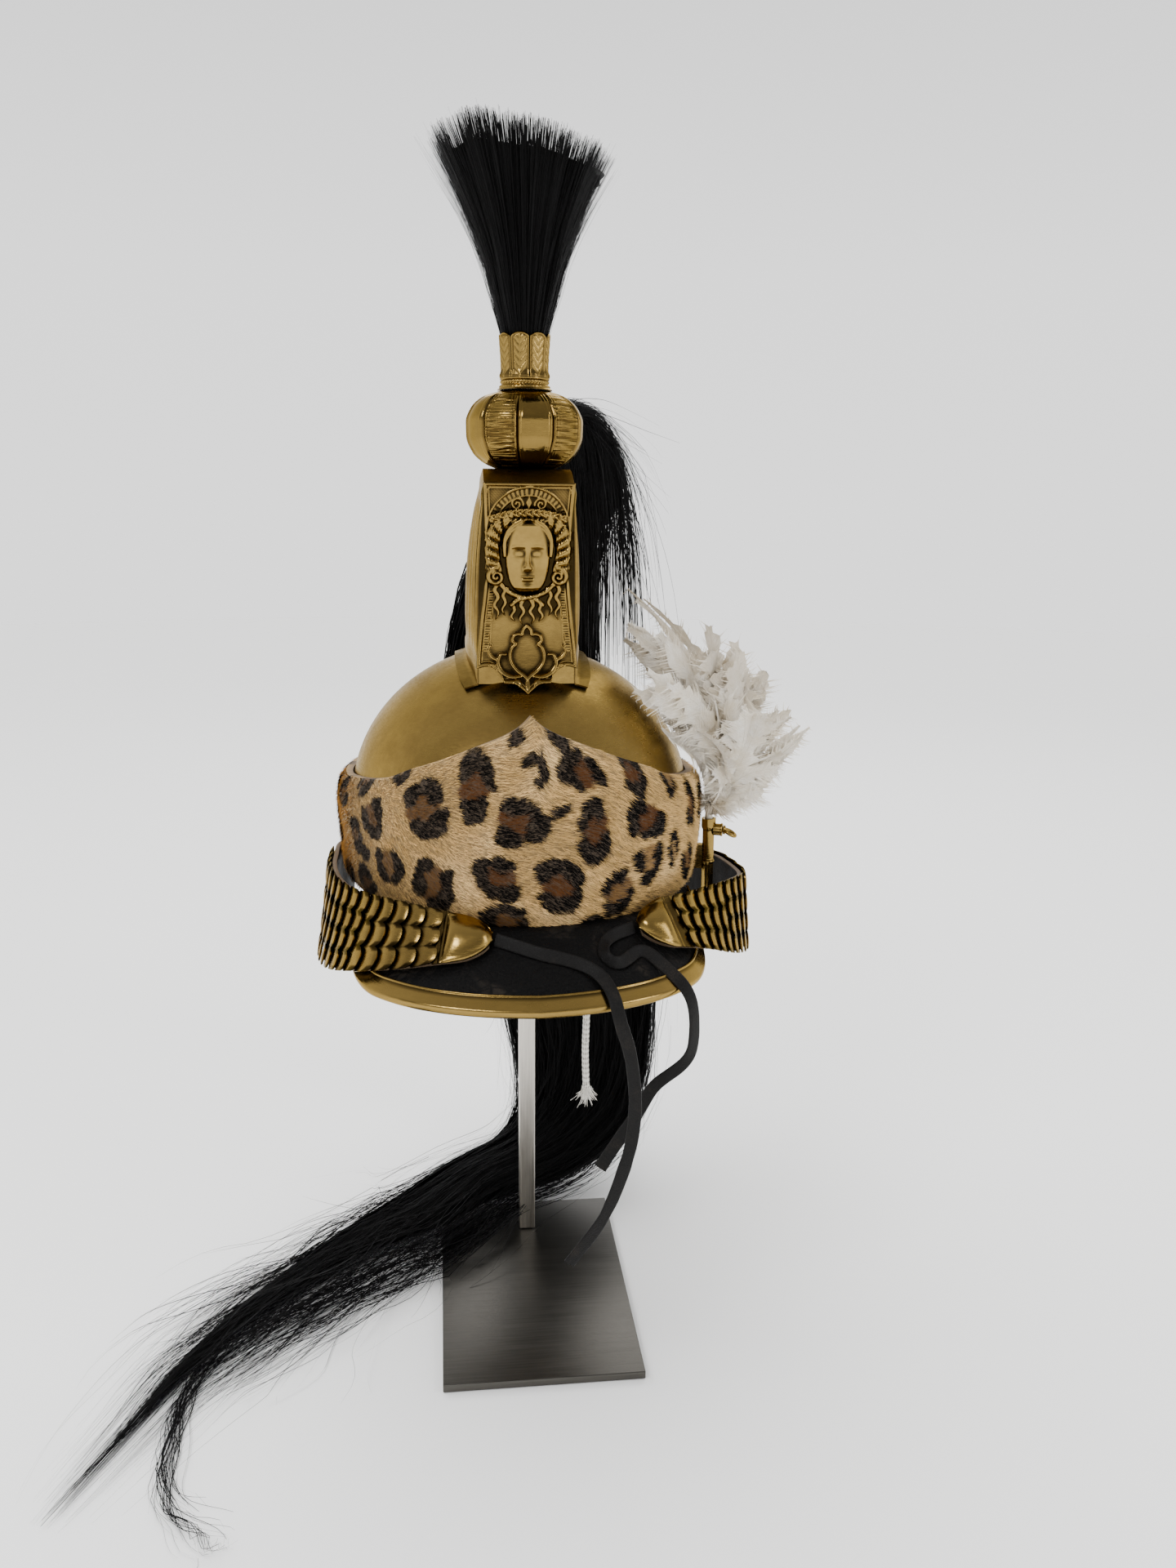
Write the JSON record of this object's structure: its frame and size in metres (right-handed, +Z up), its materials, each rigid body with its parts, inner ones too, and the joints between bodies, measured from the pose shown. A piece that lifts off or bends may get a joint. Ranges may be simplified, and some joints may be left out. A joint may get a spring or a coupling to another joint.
{
  "type": "dragoon helmet on stand",
  "caption": "Brass dragoon helmet with crest, horsehair mane, leopard turban, feather plume and scaled chin straps, on a plain steel stand.",
  "frame": {"origin": "helmet's middle plane at the underside of the stand's plate, level with the post front to back", "axes": "+Z up, front of the helmet towards -Y, the helmet's own left side towards +X (the side with the plume)"},
  "size_m": [0.3685, 0.3704, 0.5888],
  "materials": {
    "brass": "satin, polished on the raised parts, brownish in the hollows",
    "hide": "short leopard-pattern fur, tan with black rosettes",
    "black_leather": "black, smooth, scuffed",
    "horsehair": "long black horsehair with a soft shine",
    "feather": "cream feathers, soft and matt",
    "cord": "white braid with dark flecks",
    "steel": "dark brushed plate",
    "post_steel": "satin post"
  },
  "bodies": {
    "helmet": {"cord_pin": "brass", "crest_ball": "brass", "crest_body": "brass", "crest_front_plate": "brass", "end_plate_left": "brass", "end_plate_right": "brass", "lace_left": "black_leather", "lace_right": "black_leather", "liner_cord": "cord", "mane": "horsehair", "peak": "black_leather", "peak_edge": "brass", "plume": "feather", "plume_holder": "brass", "rosette_left": "brass", "rosette_right": "brass", "scale_left_01": "brass", "scale_left_02": "brass", "scale_left_03": "brass", "scale_left_04": "brass", "scale_left_05": "brass", "scale_left_06": "brass", "scale_left_07": "brass", "scale_left_08": "brass", "scale_left_09": "brass", "scale_left_10": "brass", "scale_left_11": "brass", "scale_left_12": "brass", "scale_left_13": "brass", "scale_left_14": "brass", "scale_left_15": "brass", "scale_right_01": "brass", "scale_right_02": "brass", "scale_right_03": "brass", "scale_right_04": "brass", "scale_right_05": "brass", "scale_right_06": "brass", "scale_right_07": "brass", "scale_right_08": "brass", "scale_right_09": "brass", "scale_right_10": "brass", "scale_right_11": "brass", "scale_right_12": "brass", "scale_right_13": "brass", "skull": "brass", "stand_base": "steel", "stand_post": "post_steel", "strap_left": "black_leather", "strap_right": "black_leather", "tuft": "horsehair", "tuft_socket": "brass", "turban": "hide"},
    "screw": {"plume_screw": "brass"}
  },
  "joints": [
    {"name": "plume_screw_turn", "type": "hinge", "parent": "helmet", "child": "screw", "pos_m": [0.09852, -0.03392, 0.2545], "axis": [0.9455, -0.3256, 0], "continuous": true}
  ]
}
